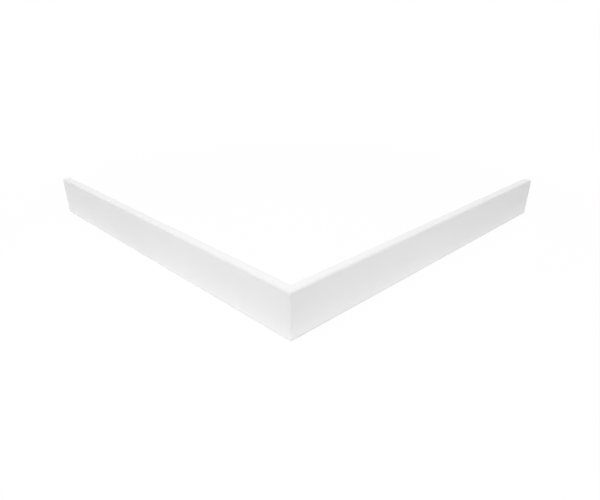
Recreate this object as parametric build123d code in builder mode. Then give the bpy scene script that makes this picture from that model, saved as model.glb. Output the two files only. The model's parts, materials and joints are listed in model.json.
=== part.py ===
"""Corner panel for a raised shower tray: one formed sheet of white acrylic.

Two upright legs meet in a mitred corner, and a lip is bent inwards along the top.
The panel stands on its bottom edge at z = 0, and the origin is at the middle of the
rectangle that its two legs lie along. The outer corner points to +X and -Y.
"""

import os

from build123d import *

# Driving dimensions, in millimetres
front_leg = 900.0
side_leg = 900.0
panel_height = 93.0
wall = 4.0
lip_width = 20.0
inner_bend = 1.0
corner_ease = 1.0
edge_ease = 0.8

# The sheet keeps its thickness round the bend
outer_bend = inner_bend + wall

# The two eased edges of a cut stay clear of each other across the sheet
widest_ease = 0.4
cut_ease = min(edge_ease, widest_ease * wall)

# Bottom edge of the outer faces, from the front leg's end to the side leg's end
front_end = (-front_leg / 2, -side_leg / 2)
corner = (front_leg / 2, -side_leg / 2)
side_end = (front_leg / 2, side_leg / 2)

# Cross-section at the front leg's end: its x runs inwards from the outer face, its y upwards
section_plane = Plane(origin=(*front_end, 0), x_dir=(0, 1, 0), z_dir=(1, 0, 0))

with BuildPart() as tray_panel:
    with BuildLine() as run:
        Polyline(front_end, corner, side_end)

    # Sheet profile: up the outer face, round the bend and in along the lip
    with BuildSketch(section_plane) as section:
        with BuildLine():
            FilletPolyline(
                (0, 0),
                (0, panel_height),
                (lip_width, panel_height),
                radius=outer_bend,
            )
            offset(amount=wall, side=Side.RIGHT)
        make_face()
        fillet(section.vertices().group_by(Axis.X)[-1], cut_ease)

    sweep(path=run.wires()[0], transition=Transition.RIGHT)

    # Outer corner, eased from the foot up into the bend
    front_uprights = tray_panel.edges().filter_by(Axis.Z).group_by(Axis.Y)[0]
    fillet(front_uprights.sort_by(Axis.X)[-1], corner_ease)

    # Long edges of the foot, eased round the corner, with the sawn ends left square
    foot_edges = tray_panel.faces().sort_by(Axis.Z)[0].edges()
    sawn_ends = foot_edges.sort_by(Axis.X)[:1] + foot_edges.sort_by(Axis.Y)[-1:]
    fillet(foot_edges - sawn_ends, cut_ease)

tray_panel.part.label = "tray_panel"

os.makedirs("parts", exist_ok=True)
export_step(tray_panel.part, "parts/tray_panel.step")
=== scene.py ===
"""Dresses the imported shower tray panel: its bent acrylic sheet, the sheet's finish and a white studio."""

import json
import math
from typing import NamedTuple

import bmesh
import bpy
from bpy.props import FloatProperty, FloatVectorProperty, IntProperty, PointerProperty
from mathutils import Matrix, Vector


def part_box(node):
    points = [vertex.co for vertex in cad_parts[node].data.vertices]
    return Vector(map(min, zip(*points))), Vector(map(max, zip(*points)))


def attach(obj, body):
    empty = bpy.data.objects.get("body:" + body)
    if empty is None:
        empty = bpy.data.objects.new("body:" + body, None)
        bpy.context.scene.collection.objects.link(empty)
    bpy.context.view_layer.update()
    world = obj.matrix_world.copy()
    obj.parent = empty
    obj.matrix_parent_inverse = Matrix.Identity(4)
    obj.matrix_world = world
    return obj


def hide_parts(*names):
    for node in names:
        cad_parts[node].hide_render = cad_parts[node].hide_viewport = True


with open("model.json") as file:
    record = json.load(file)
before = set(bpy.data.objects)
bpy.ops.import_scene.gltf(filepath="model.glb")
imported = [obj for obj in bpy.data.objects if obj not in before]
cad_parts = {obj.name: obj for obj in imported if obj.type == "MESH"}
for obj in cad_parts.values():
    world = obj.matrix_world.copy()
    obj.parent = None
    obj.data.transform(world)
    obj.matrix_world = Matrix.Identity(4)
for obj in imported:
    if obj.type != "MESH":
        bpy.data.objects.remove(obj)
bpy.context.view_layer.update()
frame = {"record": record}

bl_info = {
    "name": "Shower Tray Panel",
    "version": (1, 0, 0),
    "blender": (4, 5, 0),
    "location": "View3D > Sidebar > Tray Panel",
    "description": "Makes the bent acrylic sheet of a shower tray panel and sets it in a white studio",
    "category": "Object",
}

# Names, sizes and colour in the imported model
NODE = "tray_panel"
BODY = "root"
SLOT = "white_acrylic"
LOW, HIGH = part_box(NODE)
MOUNTS = {mount["name"]: Vector(mount["pos_m"]) for mount in frame["record"]["mounts"]}
WALL = MOUNTS["front_back"].y - LOW.y
ACRYLIC = next(slot["base_color"] for slot in frame["record"]["materials"] if slot["slot"] == SLOT)

# Attributes of the sheet's faces: 1 where the face is the back, or a cut, and 0 elsewhere
BACK = "back"
CUT = "cut"

# Edges that turn by more than this stay crisp, and points closer than this are one
CRISP_TURN = math.radians(20.0)
WELD = 1e-6

# The turn of the outer corner, and of a camera from looking straight down to looking level
QUARTER_TURN = math.pi / 2

# Rows and stations of the sheet are counted from 0, and told apart by a number half a step away
HALF_STEP = 0.5

# Sockets of a Mix node that mixes colours
MIX_SHARE, MIX_START, MIX_END, MIX_RESULT = 0, 6, 7, 2

WHITE = (1.0, 1.0, 1.0)


def length(name, description, default):
    """A size in metres."""
    return FloatProperty(name=name, description=description, default=default, unit="LENGTH", precision=6)


def share(name, description, default):
    """A number from 0 to 1."""
    return FloatProperty(name=name, description=description, default=default, min=0.0, max=1.0)


def angle(name, description, degrees):
    """An angle, given in degrees."""
    return FloatProperty(name=name, description=description, default=math.radians(degrees), subtype="ANGLE")


def watts(name, description, default):
    """A lamp's power."""
    return FloatProperty(name=name, description=description, default=default, min=0.0, unit="POWER")


def colour(name, description, default):
    """A colour, in linear light."""
    return FloatVectorProperty(
        name=name, description=description, default=default, subtype="COLOR", min=0.0, max=1.0)


def place(name, description, default):
    """A point in the panel's frame, in metres."""
    return FloatVectorProperty(name=name, description=description, default=default, subtype="TRANSLATION")


class SheetSizes(bpy.types.PropertyGroup):
    """Sizes of the bent sheet."""

    front_leg: length("Front leg", "Length of the leg that faces -Y", HIGH.x - LOW.x)
    side_leg: length("Side leg", "Length of the leg that faces +X", HIGH.y - LOW.y)
    height: length("Height", "From the floor to the top of the lip", HIGH.z - LOW.z)
    wall: length("Wall", "Thickness of the acrylic sheet", WALL)
    lip_width: length("Lip width", "From the outer face to the lip's cut edge", 0.020)
    inner_bend: length("Inner bend", "Radius inside the bend under the lip", 0.001)
    corner_ease: length("Corner ease", "Radius of the upright outer corner", 0.001)
    edge_ease: length("Edge ease", "Radius of the sheet's long cut edges", 0.0008)
    deburr: length("Deburr", "Width scraped off the edges of the two sawn ends", 0.0003)
    bend_steps: IntProperty(name="Bend steps", description="Faces round the outer bend", default=16, min=3)
    edge_steps: IntProperty(name="Edge steps", description="Faces round an eased edge", default=5, min=2)
    deburr_steps: IntProperty(name="Deburr steps", description="Faces across a scraped end", default=5, min=1)


class SheetFinish(bpy.types.PropertyGroup):
    """Colours, gloss and relief of the acrylic."""

    acrylic: colour("Acrylic", "Colour of the show faces", ACRYLIC)
    cloud: colour("Cloud", "Colour of the faint clouds in the acrylic", (0.855, 0.855, 0.855))
    back_tone: colour("Back", "Colour of the unpolished back", (0.835, 0.835, 0.825))
    cut_tone: colour("Cut", "Colour of the sawn and routed edges", (0.82, 0.82, 0.815))
    gloss: share("Gloss roughness", "Roughness of the show faces", 0.20)
    haze: share("Haze", "How much the gloss varies over the sheet", 0.06)
    wipe: share("Wiping marks", "Roughness that fine marks of wiping add", 0.05)
    scrape: share("Scraped edges", "Roughness that scraping adds along the eased edges", 0.30)
    back_matt: share("Back roughness", "Roughness of the back and of the lip's underside", 0.46)
    cut_matt: share("Cut roughness", "Roughness of the sawn and routed edges", 0.62)
    peel: length("Orange peel", "Depth of the fine ripple in the gloss", 0.000008)
    wave: length("Sheet wave", "Depth of the long waves left by forming", 0.00012)
    draw: length("Draw lines", "Depth of the lines along the back", 0.000012)
    saw: length("Saw marks", "Depth of the marks across the cuts", 0.00002)
    ior: FloatProperty(name="IOR", description="Refractive index of acrylic", default=1.49, min=1.0)


class StudioSetup(bpy.types.PropertyGroup):
    """Camera, floor and light of the studio."""

    camera: place("Camera", "Where the camera stands", (0.9552, -0.9253, 0.4769))
    azimuth: angle("Azimuth", "Turn of the camera from looking along +Y", 45.475)
    pitch: angle("Pitch", "How far the camera looks down", 27.477)
    lens: FloatProperty(name="Lens", description="Focal length in mm, for a 36 mm sensor", default=29.97)
    rise: share("Rise", "How far the lens is shifted up, as a share of the frame's width", 0.05)
    floor: colour("Floor", "Colour of the studio floor", (0.95, 0.95, 0.95))
    floor_reach: length("Floor reach", "From the middle of the floor to its edges", 12.0)
    near_white: share("Near white", "Share of plain white that is seen in the floor near the panel", 0.95)
    fade_start: length("Fade start", "How far out the floor starts to fade to plain white", 0.65)
    fade_end: length("Fade end", "How far out the floor has faded to plain white", 1.05)
    ambient: share("Ambient", "Strength of the even light from all round", 0.46)
    overhead: watts("Overhead", "Power of the wide softbox above the panel", 27.1)
    corner_top: watts("Corner top", "Power of the softbox above the outer corner", 2.31)
    front_key: watts("Front key", "Power of the softbox before the front leg", 9.67)
    side_fill: watts("Side fill", "Power of the softbox before the side leg", 0.25)
    front_glow: watts("Front glow", "Power of the glow from the floor along the front leg", 0.03)
    side_glow: watts("Side glow", "Power of the glow from the floor along the side leg", 0.03)
    corner_glow: watts("Corner glow", "Power of the glow from the floor round the outer corner", 0.205)


class Grain(NamedTuple):
    """How far the features of a noise reach along the sheet, inwards and up, in metres, and its octaves."""

    along: float
    inward: float
    up: float
    octaves: float = 2.0


CLOUD_GRAIN = Grain(along=0.2, inward=0.2, up=0.2, octaves=3.0)
HAZE_GRAIN = Grain(along=0.11, inward=0.11, up=0.11, octaves=4.0)
WIPE_GRAIN = Grain(along=0.07, inward=0.0017, up=0.0017, octaves=3.0)
SCRAPE_GRAIN = Grain(along=0.007, inward=0.007, up=0.007)
PEEL_GRAIN = Grain(along=0.003, inward=0.003, up=0.003)
WAVE_GRAIN = Grain(along=0.14, inward=0.14, up=0.14, octaves=1.0)
DRAW_GRAIN = Grain(along=0.33, inward=0.002, up=0.002, octaves=3.0)
SAW_GRAIN = Grain(along=0.0011, inward=0.017, up=0.0011)

# Levels of a noise at which a cloud, a mark of wiping or a scraped patch starts and is full
CLOUDY = (0.35, 0.75)
WIPED = (0.56, 0.72)
PATCHY = (0.3, 0.7)

# Middle level of a noise
EVEN = 0.5

# How far the scraping of an eased edge reaches, in radii of the ease
SCRAPE_REACH = 3.0


class Softbox(NamedTuple):
    """Where a lamp is, the point that it faces, and its width and depth, in metres."""

    place: tuple
    aim: tuple
    width: float
    depth: float


# The studio's lamps, each with its power in the setup under the same name
SOFTBOXES = {
    "overhead": Softbox(place=(0.0, 0.0, 2.5), aim=(0.0, 0.0, 0.0), width=2.5, depth=2.5),
    "corner_top": Softbox(place=(0.75, -0.75, 1.1), aim=(0.65, -0.65, 0.0), width=0.9, depth=0.9),
    "front_key": Softbox(place=(0.0, -1.8, 2.0), aim=(0.0, -0.45, 0.05), width=1.0, depth=1.0),
    "side_fill": Softbox(place=(1.0, 0.0, 0.35), aim=(0.45, 0.0, 0.05), width=0.4, depth=0.4),
    "front_glow": Softbox(place=(0.0, -0.465, 0.002), aim=(0.0, -0.465, 1.0), width=0.96, depth=0.03),
    "side_glow": Softbox(place=(0.465, 0.015, 0.002), aim=(0.465, 0.015, 1.0), width=0.03, depth=0.93),
    "corner_glow": Softbox(place=(0.45, -0.45, 0.001), aim=(0.45, -0.45, 1.0), width=0.9, depth=0.9),
}


class Wire:
    """A node's output that takes part in Python expressions: each sum, product or test adds a Math node."""

    def __init__(self, tree, socket):
        self.tree = tree
        self.socket = socket

    @classmethod
    def node(cls, tree, kind, settings=None, values=None, output=0):
        """Adds a node, makes its settings and then fills its sockets, and gives one of its outputs."""
        made = tree.nodes.new(kind)
        for name, setting in (settings or {}).items():
            # An Index Switch needs an item for each of its options
            if name == "item_count":
                for _ in range(setting - len(made.index_switch_items)):
                    made.index_switch_items.new()
            else:
                setattr(made, name, setting)
        for key, value in (values or {}).items():
            # A list is for a socket that takes several wires
            for item in value if isinstance(value, list) else [value]:
                if isinstance(item, Wire):
                    tree.links.new(item.socket, made.inputs[key])
                else:
                    made.inputs[key].default_value = item
        return cls(tree, made.outputs[output] if made.outputs else None)

    def output(self, key):
        """Another output of the same node."""
        return Wire(self.tree, self.socket.node.outputs[key])

    def split(self):
        """The three parts of a vector."""
        x = Wire.node(self.tree, "ShaderNodeSeparateXYZ", values={0: self})
        return x, x.output("Y"), x.output("Z")

    def math(self, operation, *others):
        """A Math node with this wire first."""
        values = dict(enumerate((self, *others)))
        return Wire.node(self.tree, "ShaderNodeMath", {"operation": operation}, values)

    def mix(self, start, end):
        """A colour between two others, with this wire as the share of the second."""
        values = {MIX_SHARE: self, MIX_START: start, MIX_END: end}
        return Wire.node(self.tree, "ShaderNodeMix", {"data_type": "RGBA"}, values, MIX_RESULT)

    def fade(self, start, end):
        """A smooth step from 0 at start to 1 at end."""
        settings = {"interpolation_type": "SMOOTHSTEP"}
        values = {"Value": self, "From Min": start, "From Max": end}
        return Wire.node(self.tree, "ShaderNodeMapRange", settings, values)

    def __add__(self, other):
        return self.math("ADD", other)

    def __sub__(self, other):
        return self.math("SUBTRACT", other)

    def __rsub__(self, other):
        return Wire.node(self.tree, "ShaderNodeMath", {"operation": "SUBTRACT"}, {0: other, 1: self})

    def __mul__(self, other):
        return self.math("MULTIPLY", other)

    def __truediv__(self, other):
        return self.math("DIVIDE", other)

    def __lt__(self, other):
        return self.math("LESS_THAN", other)

    def __gt__(self, other):
        return self.math("GREATER_THAN", other)

    __radd__ = __add__
    __rmul__ = __mul__


def choose(tree, kind, index, options):
    """One of several values, picked by number."""
    settings = {"data_type": kind, "item_count": len(options)}
    return Wire.node(tree, "GeometryNodeIndexSwitch", settings, dict(enumerate([index, *options])))


def point(tree, x, y, z=0.0):
    """A vector from three wires or numbers."""
    return Wire.node(tree, "ShaderNodeCombineXYZ", values={0: x, 1: y, 2: z})


def opaque(tone):
    """A colour as sockets take it, with its opacity."""
    return (*tone, 1.0)


def link(name, data):
    """A new object at the origin, in the scene."""
    made = bpy.data.objects.new(name, data)
    bpy.context.scene.collection.objects.link(made)
    return made


def bare_material(name):
    """A material with no nodes yet."""
    material = bpy.data.materials.new(name)
    material.use_nodes = True
    material.node_tree.nodes.clear()
    return material


def sheet_inputs(tree):
    """Gives the tree of the sheet its named inputs, with a wire from each."""
    tree.interface.new_socket("Geometry", in_out="INPUT", socket_type="NodeSocketGeometry")
    legs = ("Front Leg", "Side Leg")
    section_lengths = ("Height", "Wall", "Lip Width", "Inner Bend", "Corner Ease", "Edge Ease")
    for name in (*legs, *section_lengths):
        tree.interface.new_socket(name, in_out="INPUT", socket_type="NodeSocketFloat").subtype = "DISTANCE"
    for name in ("Bend Steps", "Edge Steps"):
        tree.interface.new_socket(name, in_out="INPUT", socket_type="NodeSocketInt")
    tree.interface.new_socket("Material", in_out="INPUT", socket_type="NodeSocketMaterial")
    entry = Wire.node(tree, "NodeGroupInput")
    return {socket.name: entry.output(socket.name) for socket in entry.socket.node.outputs if socket.name}


def sheet_section(tree, size):
    """Cross-section of the bent sheet as a closed curve: x inwards from the outer face, y upwards."""
    index = Wire.node(tree, "GeometryNodeInputIndex")
    under_lip = size["Height"] - size["Wall"]
    corners = [
        point(tree, 0.0, 0.0),
        point(tree, size["Wall"], 0.0),
        point(tree, size["Wall"], under_lip),
        point(tree, size["Lip Width"], under_lip),
        point(tree, size["Lip Width"], size["Height"]),
        point(tree, 0.0, size["Height"]),
    ]
    ease, inner = size["Edge Ease"], size["Inner Bend"]
    radii = [ease, ease, inner, ease, ease, inner + size["Wall"]]
    edge, bend = size["Edge Steps"], size["Bend Steps"]
    steps = [edge, edge, edge, edge, edge, bend]
    ring = Wire.node(tree, "GeometryNodeCurvePrimitiveCircle", values={"Resolution": len(corners)})
    outline = Wire.node(tree, "GeometryNodeSetPosition", values={
        "Geometry": ring,
        "Position": choose(tree, "VECTOR", index, corners),
    })
    return Wire.node(tree, "GeometryNodeFilletCurve", {"mode": "POLY"}, {
        "Curve": outline,
        "Count": choose(tree, "INT", index, steps),
        "Radius": choose(tree, "FLOAT", index, radii),
    })


def leg_ends(tree, size, inward, up):
    """Where a point of the section lies at the end of the front leg, and of the side leg."""
    half_front, half_side = size["Front Leg"] / 2.0, size["Side Leg"] / 2.0
    front_end = point(tree, 0.0 - half_front, inward - half_side, up)
    side_end = point(tree, half_front - inward, half_side, up)
    return [front_end, side_end]


def mark_faces(tree, geometry, name, value):
    """Stores on each face, for the material to read, the mean of a value at the face's points."""
    settings = {"data_type": "FLOAT", "domain": "POINT"}
    at_points = Wire.node(tree, "GeometryNodeFieldOnDomain", settings, {"Value": value})
    settings = {"data_type": "FLOAT", "domain": "FACE"}
    values = {"Geometry": geometry, "Name": name, "Value": at_points}
    return Wire.node(tree, "GeometryNodeStoreNamedAttribute", settings, values)


def sweep_legs(tree, size, section):
    """The sheet along both legs, with a mitre at the corner and the two ends still open."""
    # Grid with a row for each point of the section, the first one twice, and a column for each station
    # along the sheet: the front end, a fan of them round the eased corner, and the side end
    settings = {"component": "CURVE"}
    count = Wire.node(tree, "GeometryNodeAttributeDomainSize", settings, {"Geometry": section}, "Point Count")
    fan = size["Edge Steps"]
    side_station = fan + 2.0
    stations = side_station + 1.0
    grid = Wire.node(tree, "GeometryNodeMeshGrid", values={"Vertices X": count + 1.0, "Vertices Y": stations})
    index = Wire.node(tree, "GeometryNodeInputIndex")
    row = ((index + HALF_STEP) / stations).math("FLOOR")
    station = index - row * stations
    spot = Wire.node(tree, "GeometryNodeSampleIndex", {"data_type": "FLOAT_VECTOR"}, {
        "Geometry": section,
        "Value": Wire.node(tree, "GeometryNodeInputPosition"),
        "Index": row.math("MODULO", count),
    })
    inward, up, _ = spot.split()

    # A line at some depth inside the outer face turns on what is left there of the corner's radius,
    # which runs out beside the flat of the foot below, and over the whole of the bend above
    bend_start = count - size["Bend Steps"] - 1.0
    on_bend = (row > bend_start - HALF_STEP) * (row < count - HALF_STEP)
    run_out = 1.0 - on_bend + on_bend * size["Corner Ease"] / (size["Inner Bend"] + size["Wall"])
    radius = (size["Corner Ease"] - inward * run_out).math("MAXIMUM", 0.0)
    centre = inward + radius
    turn = (station - 1.0) / fan * QUARTER_TURN
    corner_x = size["Front Leg"] / 2.0 - centre + radius * turn.math("SINE")
    corner_y = centre - size["Side Leg"] / 2.0 - radius * turn.math("COSINE")
    corner = point(tree, corner_x, corner_y, up)
    front_end, side_end = leg_ends(tree, size, inward, up)
    part = (station > HALF_STEP) + (station > side_station - HALF_STEP)
    swept = Wire.node(tree, "GeometryNodeSetPosition", values={
        "Geometry": grid,
        "Position": choose(tree, "VECTOR", part, [front_end, corner, side_end]),
    })

    # The back, the foot and the lip's edge are told by where they lie on the section
    middle, half_ease = size["Wall"] / 2.0, size["Edge Ease"] / 2.0
    behind = (inward > middle) * (up < size["Height"] - middle)
    foot = up < half_ease
    lip_edge = inward > size["Lip Width"] - half_ease
    sawn = foot.math("MAXIMUM", lip_edge)
    swept = mark_faces(tree, swept, CUT, sawn)
    return mark_faces(tree, swept, BACK, behind * (1.0 - sawn))


def sawn_ends(tree, size, section):
    """The two sawn faces that close the sheet at the ends of its legs."""
    cap = Wire.node(tree, "GeometryNodeFillCurve", {"mode": "NGONS"}, {"Curve": section})
    inward, up, _ = Wire.node(tree, "GeometryNodeInputPosition").split()
    caps = [
        Wire.node(tree, "GeometryNodeSetPosition", values={"Geometry": cap, "Position": end})
        for end in leg_ends(tree, size, inward, up)
    ]
    return mark_faces(tree, Wire.node(tree, "GeometryNodeJoinGeometry", values={0: caps}), CUT, 1.0)


def weigh_ends(tree, size, sheet):
    """Gives the edges round the two sawn ends the weight that marks them for scraping."""
    x, y, _ = Wire.node(tree, "GeometryNodeInputPosition").split()
    at_front_end = x < WELD - size["Front Leg"] / 2.0
    at_side_end = y > size["Side Leg"] / 2.0 - WELD
    at_end = at_front_end.math("MAXIMUM", at_side_end)
    settings = {"data_type": "FLOAT", "domain": "EDGE"}
    values = {"Geometry": sheet, "Name": "bevel_weight_edge", "Value": at_end}
    return Wire.node(tree, "GeometryNodeStoreNamedAttribute", settings, values)


def sheet_tree():
    """Geometry Nodes tree of the bent sheet: its section along both legs, closed at the ends."""
    tree = bpy.data.node_groups.new("Bent Sheet", "GeometryNodeTree")
    tree.interface.new_socket("Geometry", in_out="OUTPUT", socket_type="NodeSocketGeometry")
    size = sheet_inputs(tree)
    section = sheet_section(tree, size)
    parts = [sweep_legs(tree, size, section), sawn_ends(tree, size, section)]
    sheet = Wire.node(tree, "GeometryNodeJoinGeometry", values={0: parts})
    sheet = Wire.node(tree, "GeometryNodeMergeByDistance", values={"Geometry": sheet, "Distance": WELD})
    sheet = weigh_ends(tree, size, sheet)
    sheet = Wire.node(tree, "GeometryNodeSetShadeSmooth", values={"Geometry": sheet})
    sheet = Wire.node(tree, "GeometryNodeRealizeInstances", values={"Geometry": sheet})
    values = {"Geometry": sheet, "Material": size["Material"]}
    sheet = Wire.node(tree, "GeometryNodeSetMaterial", values=values)
    Wire.node(tree, "NodeGroupOutput", values={"Geometry": sheet})
    return tree


def bake_modifiers(piece):
    """Turns what the piece's modifiers make into its plain mesh."""
    graph = bpy.context.evaluated_depsgraph_get()
    shaped = piece.evaluated_get(graph)
    made = bpy.data.meshes.new_from_object(shaped, preserve_all_data_layers=True, depsgraph=graph)
    piece.modifiers.clear()
    old, piece.data = piece.data, made
    made.name = piece.name
    bpy.data.meshes.remove(old)


def close_sheet(mesh):
    """Points the faces outwards, and stops the script if the sheet isn't closed."""
    work = bmesh.new()
    work.from_mesh(mesh)
    bmesh.ops.recalc_face_normals(work, faces=work.faces)
    open_edges = sum(1 for edge in work.edges if not edge.is_manifold)
    work.to_mesh(mesh)
    work.free()
    if open_edges:
        raise RuntimeError(f"the sheet has {open_edges} open edges")


def scrape_ends(piece, sizes):
    """Scrapes the edges of the two sawn ends."""
    scraped = piece.modifiers.new("Deburr", "BEVEL")
    scraped.width = sizes.deburr
    scraped.segments = sizes.deburr_steps
    scraped.limit_method = "WEIGHT"
    bake_modifiers(piece)


def smooth_bends(piece):
    """Shades the bends smoothly, with the flats flat beside them and the mitre crisp."""
    piece.data.set_sharp_from_angle(angle=CRISP_TURN)
    flats = piece.modifiers.new("Flat Faces", "WEIGHTED_NORMAL")
    flats.keep_sharp = True
    bake_modifiers(piece)


def noise(grain, along, inward, up):
    """Smooth noise from 0 to 1, with features of the grain's size."""
    tree = along.tree
    spot = point(tree, along / grain.along, inward / grain.inward, up / grain.up)
    values = {"Vector": spot, "Scale": 1.0, "Detail": grain.octaves}
    return Wire.node(tree, "ShaderNodeTexNoise", values=values)


def acrylic_material(finish, sizes):
    """White acrylic: gloss on the show faces, duller behind, sawn at the cuts and scraped at the edges."""
    material = bare_material(SLOT)
    tree = material.node_tree

    # Where on the sheet: along the run of both legs, away from the corner, in from the outer faces, and up
    x, y, up = Wire.node(tree, "ShaderNodeTexCoord", output="Object").split()
    run = x + y
    from_side, from_front = HIGH.x - x, y - LOW.y
    away = from_side.math("MAXIMUM", from_front)
    inward = from_side.math("MINIMUM", from_front)
    sheet = (run, inward, up)
    back = Wire.node(tree, "ShaderNodeAttribute", {"attribute_name": BACK}, output="Fac")
    cut = Wire.node(tree, "ShaderNodeAttribute", {"attribute_name": CUT}, output="Fac")
    show = 1.0 - back - cut

    # Edges that were scraped by hand: the foot and the lip's edge in patches, the upright corner all along
    reach = SCRAPE_REACH * sizes.edge_ease
    near_foot = 1.0 - up.fade(0.0, reach)
    near_lip_edge = inward.fade(sizes.lip_width - reach, sizes.lip_width)
    near_corner = 1.0 - away.fade(0.0, reach)
    patches = noise(SCRAPE_GRAIN, *sheet).fade(*PATCHY)
    scraped = (near_foot.math("MAXIMUM", near_lip_edge) * patches).math("MAXIMUM", near_corner)

    # Colour: faint clouds in the white, and the duller tones of the back and the cuts
    clouds = noise(CLOUD_GRAIN, *sheet).fade(*CLOUDY)
    white = clouds.mix(opaque(finish.acrylic), opaque(finish.cloud))
    white = back.mix(white, opaque(finish.back_tone))
    white = cut.mix(white, opaque(finish.cut_tone))

    # Gloss: a slow haze, fine marks of wiping along the sheet, and matt where it was scraped or cut
    haze = noise(HAZE_GRAIN, *sheet) - EVEN
    wiped = noise(WIPE_GRAIN, *sheet).fade(*WIPED) * show
    matt = finish.gloss + haze * finish.haze + wiped * finish.wipe + scraped * finish.scrape
    matt = matt + back * (finish.back_matt - finish.gloss) + cut * (finish.cut_matt - finish.gloss)

    # Relief in metres: orange peel and forming waves, draw lines along the back, saw marks across the cuts
    peel = noise(PEEL_GRAIN, *sheet) * show * finish.peel
    wave = noise(WAVE_GRAIN, *sheet) * (1.0 - cut) * finish.wave
    draw = noise(DRAW_GRAIN, *sheet) * back * finish.draw
    saw = noise(SAW_GRAIN, away, inward, up) * cut * finish.saw
    bump = Wire.node(tree, "ShaderNodeBump", values={"Distance": 1.0, "Height": peel + wave + draw + saw})

    shader = Wire.node(tree, "ShaderNodeBsdfPrincipled", values={
        "Base Color": white,
        "Roughness": matt,
        "IOR": finish.ior,
        "Normal": bump,
    })
    Wire.node(tree, "ShaderNodeOutputMaterial", values={"Surface": shader})
    return material


class TRAYPANEL_OT_sheet(bpy.types.Operator):
    """Bend the acrylic sheet, sweep it round the corner and give it its finish"""

    bl_idname = "tray_panel.sheet"
    bl_label = "Panel Sheet"

    def execute(self, context):
        sizes = context.scene.tray_panel_sizes
        finish = context.scene.tray_panel_finish
        piece = link("panel_sheet", bpy.data.meshes.new("panel_sheet"))
        sweep = piece.modifiers.new("Bent Sheet", "NODES")
        sweep.node_group = sheet_tree()
        for item in sweep.node_group.interface.items_tree:
            if item.socket_type == "NodeSocketMaterial":
                sweep[item.identifier] = acrylic_material(finish, sizes)
            elif item.socket_type != "NodeSocketGeometry":
                sweep[item.identifier] = getattr(sizes, item.name.lower().replace(" ", "_"))
        bake_modifiers(piece)
        close_sheet(piece.data)
        scrape_ends(piece, sizes)
        smooth_bends(piece)
        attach(piece, BODY)
        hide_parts(NODE)
        return {"FINISHED"}


def hang_softbox(name, box, power):
    """A lamp that the camera doesn't see, and that the gloss sees only if it faces down."""
    data = bpy.data.lights.new(name, "AREA")
    data.shape = "RECTANGLE"
    data.size = box.width
    data.size_y = box.depth
    data.energy = power
    lamp = link(name, data)
    lamp.location = box.place
    facing = Vector(box.aim) - Vector(box.place)
    lamp.rotation_euler = facing.to_track_quat("-Z", "Y").to_euler()
    lamp.visible_camera = False
    lamp.visible_glossy = facing.z < 0.0


def seen_rays(tree):
    """1 for the rays by which the camera sees a surface, straight, in a reflection or through glass."""
    rays = Wire.node(tree, "ShaderNodeLightPath", output="Is Camera Ray")
    mirrored, through = rays.output("Is Glossy Ray"), rays.output("Is Transmission Ray")
    return rays.math("MAXIMUM", mirrored).math("MAXIMUM", through)


def lay_floor(setup):
    """A wide pale floor that keeps the panel's soft shadow and fades to plain white."""
    reach = setup.floor_reach
    corners = [(-reach, -reach, 0.0), (reach, -reach, 0.0), (reach, reach, 0.0), (-reach, reach, 0.0)]
    mesh = bpy.data.meshes.new("floor")
    mesh.from_pydata(corners, [], [range(len(corners))])
    material = bare_material("studio_floor")
    tree = material.node_tree
    where = Wire.node(tree, "ShaderNodeTexCoord", output="Object")
    away = Wire.node(tree, "ShaderNodeVectorMath", {"operation": "LENGTH"}, {0: where}, "Value")
    plain = setup.near_white + away.fade(setup.fade_start, setup.fade_end) * (1.0 - setup.near_white)
    matt = Wire.node(tree, "ShaderNodeBsdfDiffuse", values={"Color": opaque(setup.floor)})
    white = Wire.node(tree, "ShaderNodeEmission", values={"Color": opaque(WHITE)})
    mixed = Wire.node(tree, "ShaderNodeMixShader", values={0: seen_rays(tree) * plain, 1: matt, 2: white})
    Wire.node(tree, "ShaderNodeOutputMaterial", values={"Surface": mixed})
    mesh.materials.append(material)
    link("floor", mesh)


def light_surroundings(scene, setup):
    """Even light from all round, which the camera and the gloss see as plain white."""
    world = bpy.data.worlds.new("studio")
    world.use_nodes = True
    tree = world.node_tree
    tree.nodes.clear()
    strength = setup.ambient + seen_rays(tree) * (1.0 - setup.ambient)
    sky = Wire.node(tree, "ShaderNodeBackground", values={"Color": opaque(WHITE), "Strength": strength})
    Wire.node(tree, "ShaderNodeOutputWorld", values={"Surface": sky})
    scene.world = world


def stand_camera(scene, setup):
    """The camera, turned from looking straight down, with its lens shifted up."""
    data = bpy.data.cameras.new("camera")
    data.lens = setup.lens
    data.shift_y = setup.rise
    camera = link("camera", data)
    camera.location = setup.camera
    camera.rotation_euler = (QUARTER_TURN - setup.pitch, 0.0, setup.azimuth)
    scene.camera = camera


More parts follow.
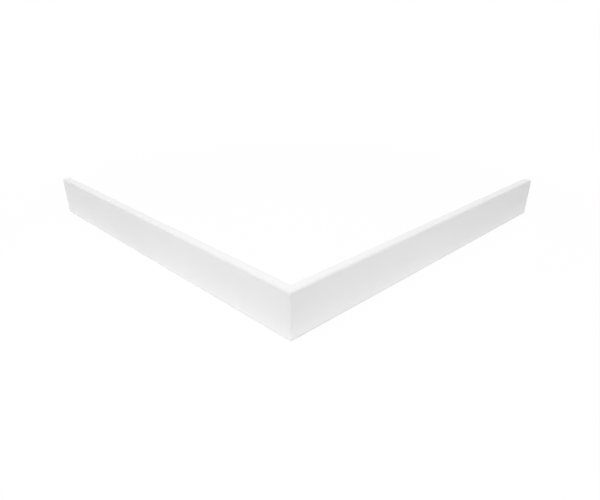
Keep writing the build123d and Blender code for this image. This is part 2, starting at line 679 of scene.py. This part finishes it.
class TRAYPANEL_OT_studio(bpy.types.Operator):
    """Lay the floor, hang the lamps and stand the camera"""

    bl_idname = "tray_panel.studio"
    bl_label = "White Studio"

    def execute(self, context):
        scene = context.scene
        setup = scene.tray_panel_studio
        scene.view_settings.view_transform = "Standard"
        lay_floor(setup)
        light_surroundings(scene, setup)
        for name, box in SOFTBOXES.items():
            hang_softbox(name, box, getattr(setup, name))
        stand_camera(scene, setup)
        return {"FINISHED"}


class TRAYPANEL_PT_sidebar(bpy.types.Panel):
    """Sizes and colours of the panel, with the steps that make it"""

    bl_idname = "TRAYPANEL_PT_sidebar"
    bl_label = "Shower Tray Panel"
    bl_space_type = "VIEW_3D"
    bl_region_type = "UI"
    bl_category = "Tray Panel"

    def draw(self, context):
        scene = context.scene
        steps = (
            (TRAYPANEL_OT_sheet, (scene.tray_panel_sizes, scene.tray_panel_finish)),
            (TRAYPANEL_OT_studio, (scene.tray_panel_studio,)),
        )
        for operator, groups in steps:
            box = self.layout.box()
            for group in groups:
                for name in group.__annotations__:
                    box.prop(group, name)
            box.operator(operator.bl_idname)


CLASSES = (
    SheetSizes,
    SheetFinish,
    StudioSetup,
    TRAYPANEL_OT_sheet,
    TRAYPANEL_OT_studio,
    TRAYPANEL_PT_sidebar,
)


def register():
    """Registers the classes, and gives every scene its settings."""
    for made in CLASSES:
        bpy.utils.register_class(made)
    bpy.types.Scene.tray_panel_sizes = PointerProperty(type=SheetSizes)
    bpy.types.Scene.tray_panel_finish = PointerProperty(type=SheetFinish)
    bpy.types.Scene.tray_panel_studio = PointerProperty(type=StudioSetup)


def unregister():
    """Takes the settings and the classes away again."""
    del bpy.types.Scene.tray_panel_studio
    del bpy.types.Scene.tray_panel_finish
    del bpy.types.Scene.tray_panel_sizes
    for made in reversed(CLASSES):
        bpy.utils.unregister_class(made)


def main():
    """Makes the panel and the studio."""
    register()
    bpy.ops.tray_panel.sheet()
    bpy.ops.tray_panel.studio()


if __name__ == "__main__":
    main()
